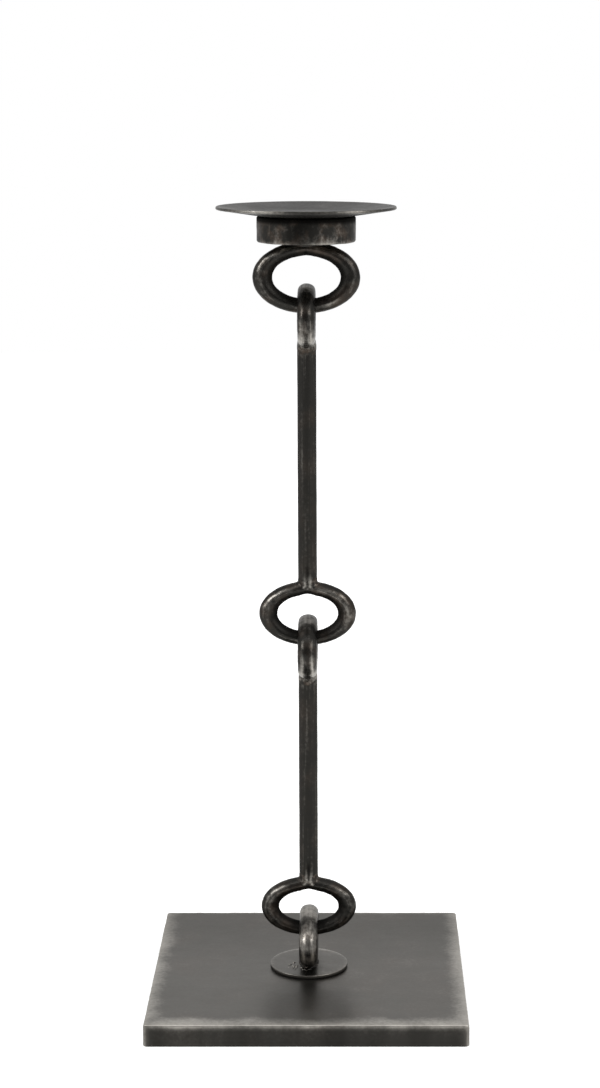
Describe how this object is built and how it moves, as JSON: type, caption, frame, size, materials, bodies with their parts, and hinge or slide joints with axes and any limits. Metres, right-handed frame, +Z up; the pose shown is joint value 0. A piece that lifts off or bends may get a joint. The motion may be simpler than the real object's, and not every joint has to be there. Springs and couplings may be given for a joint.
{
  "type": "candle stand",
  "caption": "Free-standing candle stand of blackened steel: a square plate, a rigid stem of oval loops and round bars welded like a chain, and a shallow round drip pan on a drum.",
  "frame": {"origin": "middle of the plate's underside, on the surface that the stand rests on", "axes": "+Z up along the stem; the rings face along Y, so -Y is the front, and the links face along X"},
  "size_m": [0.17, 0.17, 0.429],
  "materials": {
    "blackened_steel": "raw hot-rolled steel, blackened and waxed, satin",
    "weld_steel": "weld metal, brushed and partly ground bright",
    "zinc_steel": "zinc plated, satin"
  },
  "bodies": {
    "root": {"base_plate": "blackened_steel", "base_disc": "blackened_steel", "base_stud": "zinc_steel", "base_washer": "zinc_steel", "base_nut": "zinc_steel", "base_link": "blackened_steel", "base_link_weld": "weld_steel", "lower_crossing_weld": "weld_steel", "lower_ring": "blackened_steel", "lower_rod": "blackened_steel", "lower_rod_foot_weld": "weld_steel", "lower_rod_neck_weld": "weld_steel", "middle_link": "blackened_steel", "middle_crossing_weld": "weld_steel", "middle_ring": "blackened_steel", "upper_rod": "blackened_steel", "upper_rod_foot_weld": "weld_steel", "upper_rod_neck_weld": "weld_steel", "upper_link": "blackened_steel", "top_crossing_weld": "weld_steel", "top_ring": "blackened_steel", "top_ring_weld": "weld_steel", "drum": "blackened_steel", "drip_pan": "blackened_steel", "pan_plug_weld": "weld_steel"}
  },
  "joints": []
}
